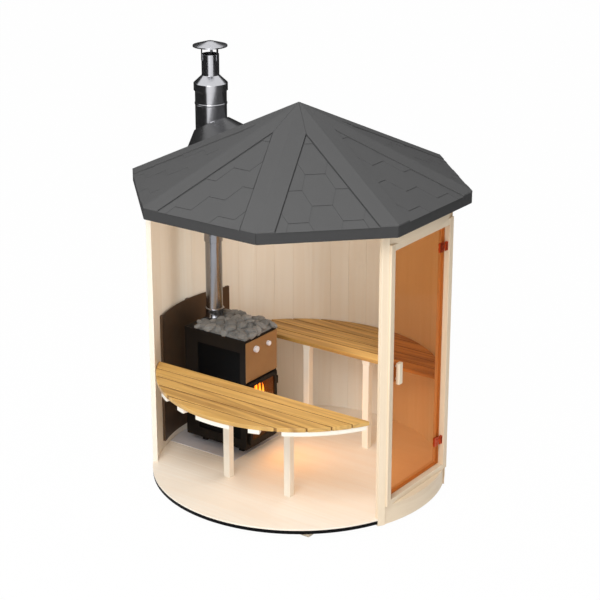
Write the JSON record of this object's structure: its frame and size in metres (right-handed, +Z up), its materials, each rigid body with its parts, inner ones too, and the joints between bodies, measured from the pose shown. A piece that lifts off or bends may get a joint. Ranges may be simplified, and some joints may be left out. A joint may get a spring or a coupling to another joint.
{
  "type": "outdoor sauna",
  "caption": "Round wooden outdoor sauna cut open at the front, with an octagonal felt roof, bronze glass door, curved benches, wood stove and steel chimney",
  "frame": {"origin": "on the ground under the middle of the roof, at the underside of the bearers", "axes": "+Z up, the door faces -Y, the stove and chimney stand at +Y, the open front is at -X"},
  "size_m": [2.088, 2.088, 2.9237],
  "materials": {
    "spruce": "planed pale boards",
    "bench_wood": "oiled slats",
    "bearer_wood": "sawn timber",
    "black_band": "smooth",
    "bronze_glass": "clear bronze tint",
    "copper": "satin red copper",
    "bitumen": "matt mineral felt",
    "polished_steel": "polished",
    "grey_sheet": "satin",
    "brown_sheet": "satin",
    "black_steel": "satin black",
    "bronze_panel": "satin bronze",
    "stove_stone": "rough",
    "fire_glass": "clear, lit by the fire"
  },
  "bodies": {
    "sauna": {"bearers": "bearer_wood", "floor": "spruce", "base_band": "black_band", "wall_bay_1": "spruce", "wall_bay_2": "spruce", "wall_bay_3": "spruce", "wall_bay_4": "spruce", "wall_bay_5": "spruce", "wall_bay_6": "spruce", "wall_bay_7": "spruce", "wall_bay_8": "spruce", "wall_plate": "spruce", "door_post_left": "spruce", "door_post_right": "spruce", "door_skirt": "spruce", "door_sill": "spruce", "door_lintel": "spruce", "door_jambs": "spruce", "door_rails": "spruce", "hinge_plates": "copper", "roof_panels": "bitumen", "fascia": "bitumen", "hip_caps": "bitumen", "flashing": "bitumen", "chimney_pipe": "polished_steel", "chimney_cone": "polished_steel", "rain_cap": "polished_steel", "flue_pipe": "polished_steel", "floor_plate": "grey_sheet", "heat_shield": "brown_sheet", "stove_feet": "black_steel", "stove_body": "black_steel", "stove_panel": "bronze_panel", "stones": "stove_stone", "left_bench_slats": "bench_wood", "left_bench_rails": "spruce", "left_bench_legs": "spruce", "right_bench_slats": "bench_wood", "right_bench_rails": "spruce", "right_bench_legs": "spruce"},
    "door": {"door_glass": "bronze_glass", "door_handle": "spruce", "door_clamps": "copper"},
    "fire_door": {"stove_door": "black_steel", "stove_door_glass": "fire_glass"}
  },
  "joints": [
    {"name": "door_hinge", "type": "hinge", "parent": "sauna", "child": "door", "pos_m": [0.306, -0.933, 0.384], "axis": [0, 0, 1], "range_deg": [0, 110]},
    {"name": "fire_door_hinge", "type": "hinge", "parent": "sauna", "child": "fire_door", "pos_m": [0.163, 0.3, 0.253], "axis": [0, 0, 1], "range_deg": [0, 100]}
  ]
}
